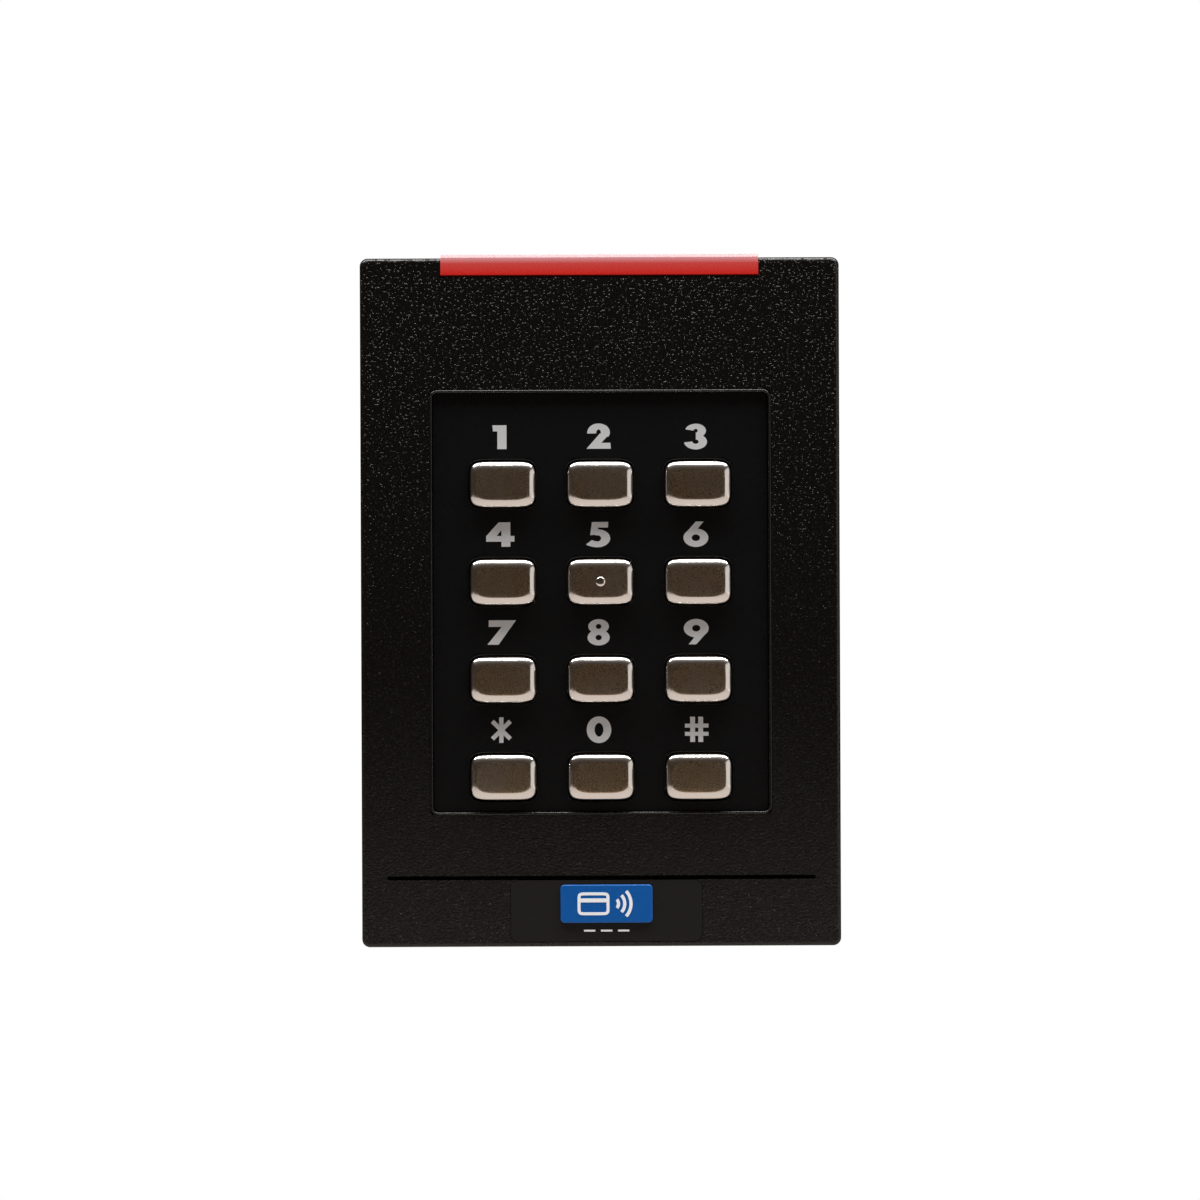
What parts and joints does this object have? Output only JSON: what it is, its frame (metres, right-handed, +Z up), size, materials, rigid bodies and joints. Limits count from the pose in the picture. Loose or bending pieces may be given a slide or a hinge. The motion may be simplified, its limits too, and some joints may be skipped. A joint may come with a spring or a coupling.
{
  "type": "keypad access reader",
  "caption": "Wall-mounted access reader with a recessed panel of sprung metal keys, a light bar over the top edge, and a hooked wall plate with slotted holes.",
  "frame": {"origin": "centre of the wall plate's back face, on the wall", "axes": "+X to the right and +Z up as the user faces it, +Y into the wall; the keys face -Y"},
  "size_m": [0.0844, 0.028, 0.1219],
  "materials": {
    "housing_plastic": "fine spark-eroded texture",
    "panel_plastic": "smooth satin",
    "key_metal": "satin with bright shoulders",
    "red_lens": "translucent, polished",
    "label_plastic": "smooth satin",
    "badge_blue": "polished",
    "silicone": "matt",
    "carbon": "matt",
    "adhesive_foam": "matt",
    "circuit_board": "solder mask",
    "gold_plate": "plated",
    "screw_steel": "zinc plated",
    "plate_steel": "zinc plated",
    "connector_plastic": "moulded",
    "component_black": "moulded",
    "lamp_white": "clear",
    "can_aluminium": "drawn",
    "copper": "enamelled wire",
    "clear_window": "polished",
    "terminal_green": "moulded"
  },
  "bodies": {
    "housing": {"antenna_coil": "copper", "badge": "badge_blue", "board_header": "connector_plastic", "board_screws": "screw_steel", "capacitors": "can_aluminium", "coil_former": "connector_plastic", "contact_pads": "gold_plate", "contact_pills": "carbon", "cover_screws": "screw_steel", "crystal": "screw_steel", "front_cover": "housing_plastic", "housing_gasket": "silicone", "keypad_board": "circuit_board", "keypad_mat": "silicone", "keypad_panel": "panel_plastic", "keypad_screws": "screw_steel", "label_plate": "label_plastic", "light_bar": "red_lens", "main_board": "circuit_board", "mounting_plate": "plate_steel", "panel_tape": "adhesive_foam", "processor_chip": "component_black", "radio_chip": "component_black", "rear_cover": "housing_plastic", "secure_chip": "component_black", "security_screw": "screw_steel", "sounder": "component_black", "status_leds": "lamp_white", "tamper_sensor": "component_black", "tamper_window": "clear_window", "terminal_block_left": "terminal_green", "terminal_block_right": "terminal_green", "terminal_screws": "screw_steel"},
    "key_1": {"key_1": "key_metal"},
    "key_2": {"key_2": "key_metal"},
    "key_3": {"key_3": "key_metal"},
    "key_4": {"key_4": "key_metal"},
    "key_5": {"key_5": "key_metal"},
    "key_6": {"key_6": "key_metal"},
    "key_7": {"key_7": "key_metal"},
    "key_8": {"key_8": "key_metal"},
    "key_9": {"key_9": "key_metal"},
    "key_star": {"key_star": "key_metal"},
    "key_0": {"key_0": "key_metal"},
    "key_hash": {"key_hash": "key_metal"}
  },
  "joints": [
    {"name": "key_1_press", "type": "slide", "parent": "housing", "child": "key_1", "axis": [0, 1, 0], "range_m": [0, 0.001], "stiffness_N_per_m": 600, "deforming": ["keypad_mat", "contact_pills"]},
    {"name": "key_2_press", "type": "slide", "parent": "housing", "child": "key_2", "axis": [0, 1, 0], "range_m": [0, 0.001], "stiffness_N_per_m": 600, "deforming": ["keypad_mat", "contact_pills"]},
    {"name": "key_3_press", "type": "slide", "parent": "housing", "child": "key_3", "axis": [0, 1, 0], "range_m": [0, 0.001], "stiffness_N_per_m": 600, "deforming": ["keypad_mat", "contact_pills"]},
    {"name": "key_4_press", "type": "slide", "parent": "housing", "child": "key_4", "axis": [0, 1, 0], "range_m": [0, 0.001], "stiffness_N_per_m": 600, "deforming": ["keypad_mat", "contact_pills"]},
    {"name": "key_5_press", "type": "slide", "parent": "housing", "child": "key_5", "axis": [0, 1, 0], "range_m": [0, 0.001], "stiffness_N_per_m": 600, "deforming": ["keypad_mat", "contact_pills"]},
    {"name": "key_6_press", "type": "slide", "parent": "housing", "child": "key_6", "axis": [0, 1, 0], "range_m": [0, 0.001], "stiffness_N_per_m": 600, "deforming": ["keypad_mat", "contact_pills"]},
    {"name": "key_7_press", "type": "slide", "parent": "housing", "child": "key_7", "axis": [0, 1, 0], "range_m": [0, 0.001], "stiffness_N_per_m": 600, "deforming": ["keypad_mat", "contact_pills"]},
    {"name": "key_8_press", "type": "slide", "parent": "housing", "child": "key_8", "axis": [0, 1, 0], "range_m": [0, 0.001], "stiffness_N_per_m": 600, "deforming": ["keypad_mat", "contact_pills"]},
    {"name": "key_9_press", "type": "slide", "parent": "housing", "child": "key_9", "axis": [0, 1, 0], "range_m": [0, 0.001], "stiffness_N_per_m": 600, "deforming": ["keypad_mat", "contact_pills"]},
    {"name": "key_star_press", "type": "slide", "parent": "housing", "child": "key_star", "axis": [0, 1, 0], "range_m": [0, 0.001], "stiffness_N_per_m": 600, "deforming": ["keypad_mat", "contact_pills"]},
    {"name": "key_0_press", "type": "slide", "parent": "housing", "child": "key_0", "axis": [0, 1, 0], "range_m": [0, 0.001], "stiffness_N_per_m": 600, "deforming": ["keypad_mat", "contact_pills"]},
    {"name": "key_hash_press", "type": "slide", "parent": "housing", "child": "key_hash", "axis": [0, 1, 0], "range_m": [0, 0.001], "stiffness_N_per_m": 600, "deforming": ["keypad_mat", "contact_pills"]}
  ]
}
